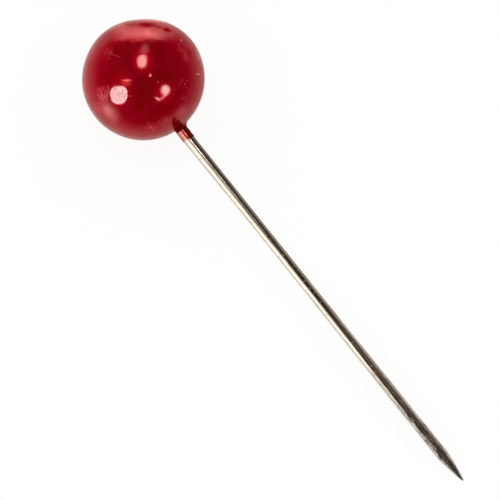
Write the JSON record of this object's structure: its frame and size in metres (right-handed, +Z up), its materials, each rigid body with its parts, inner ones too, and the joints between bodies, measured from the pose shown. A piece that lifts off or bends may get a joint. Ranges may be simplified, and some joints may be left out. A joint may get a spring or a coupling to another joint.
{
  "type": "pearl head pin",
  "caption": "Dressmaking pin: slim pointed steel wire glued into a glossy deep red ball head whose lacquer runs a short way down the wire.",
  "frame": {"origin": "on the surface that the pin lies on, under the middle of its bounding box", "axes": "+X from the head towards the point, level with the surface; +Z up; the wire dips from the head to the surface by 6.6 degrees"},
  "size_m": [0.028, 0.006, 0.006],
  "materials": {
    "nickel_plated_steel": "polished",
    "red_lacquer": "gloss",
    "pearl_essence": "satin",
    "bead_plastic": "satin",
    "set_adhesive": "satin"
  },
  "bodies": {
    "root": {"pin_wire": "nickel_plated_steel", "lacquer_coat": "red_lacquer", "pearl_layer": "pearl_essence", "bead_core": "bead_plastic", "glue_plug": "set_adhesive"}
  },
  "joints": []
}
